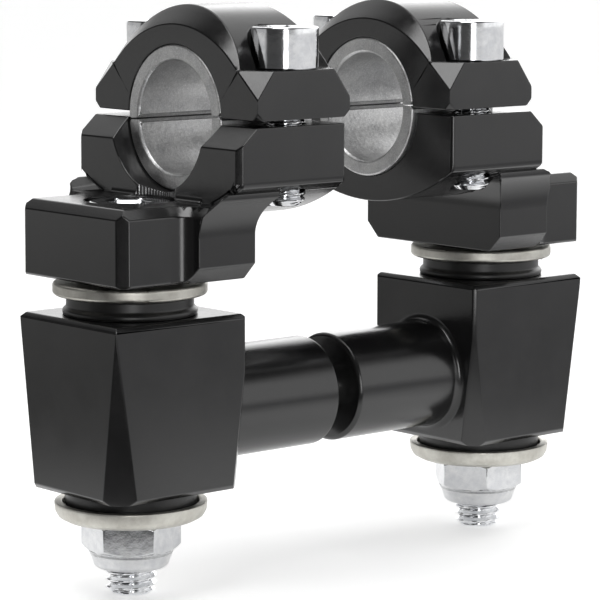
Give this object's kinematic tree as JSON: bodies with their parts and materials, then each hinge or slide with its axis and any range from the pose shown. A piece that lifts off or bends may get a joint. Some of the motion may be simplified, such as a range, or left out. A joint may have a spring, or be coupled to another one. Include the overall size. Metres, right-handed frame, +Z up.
{
  "type": "motorcycle handlebar riser",
  "caption": "Handlebar riser with stub posts for the lower bar clamps, rubber-bushed blocks, and swivelling split clamps that hold a raised handlebar.",
  "frame": {"origin": "middle of the common axis of the two stub posts", "axes": "+X along the stub posts from the left half to the right half, -Y the front, +Z up towards the handlebar clamps"},
  "size_m": [0.1258, 0.0518, 0.1144],
  "materials": {
    "black_anodised": "black anodised, satin",
    "rubber": "semi-gloss moulded rubber",
    "washer_steel": "dull plated steel",
    "plain_steel": "turned",
    "zinc_hardware": "bright zinc plated",
    "bare_aluminium": "tumbled, bare"
  },
  "bodies": {
    "blocks": {"left_block": "black_anodised", "right_block": "black_anodised", "joining_pin": "plain_steel", "left_upper_bushing": "rubber", "right_upper_bushing": "rubber", "left_lower_bushing": "rubber", "right_lower_bushing": "rubber"},
    "left_clamp": {"left_clamp_base": "black_anodised", "left_cap": "black_anodised", "left_lower_bar_sleeve": "bare_aluminium", "left_upper_bar_sleeve": "bare_aluminium", "left_front_cap_screw": "zinc_hardware", "left_rear_cap_screw": "zinc_hardware", "left_through_bolt": "zinc_hardware", "left_upper_washer": "washer_steel", "left_spacer_sleeve": "plain_steel", "left_cup_washer": "washer_steel", "left_lock_nut": "zinc_hardware"},
    "right_clamp": {"right_clamp_base": "black_anodised", "right_cap": "black_anodised", "right_lower_bar_sleeve": "bare_aluminium", "right_upper_bar_sleeve": "bare_aluminium", "right_front_cap_screw": "zinc_hardware", "right_rear_cap_screw": "zinc_hardware", "right_through_bolt": "zinc_hardware", "right_upper_washer": "washer_steel", "right_spacer_sleeve": "plain_steel", "right_cup_washer": "washer_steel", "right_lock_nut": "zinc_hardware"}
  },
  "joints": [
    {"name": "left_swivel", "type": "hinge", "parent": "blocks", "child": "left_clamp", "pos_m": [-0.0477, 0, 0], "axis": [0, 0, 1], "range_deg": [-15, 15]},
    {"name": "right_swivel", "type": "hinge", "parent": "blocks", "child": "right_clamp", "pos_m": [0.0477, 0, 0], "axis": [0, 0, 1], "range_deg": [-15, 15]}
  ]
}
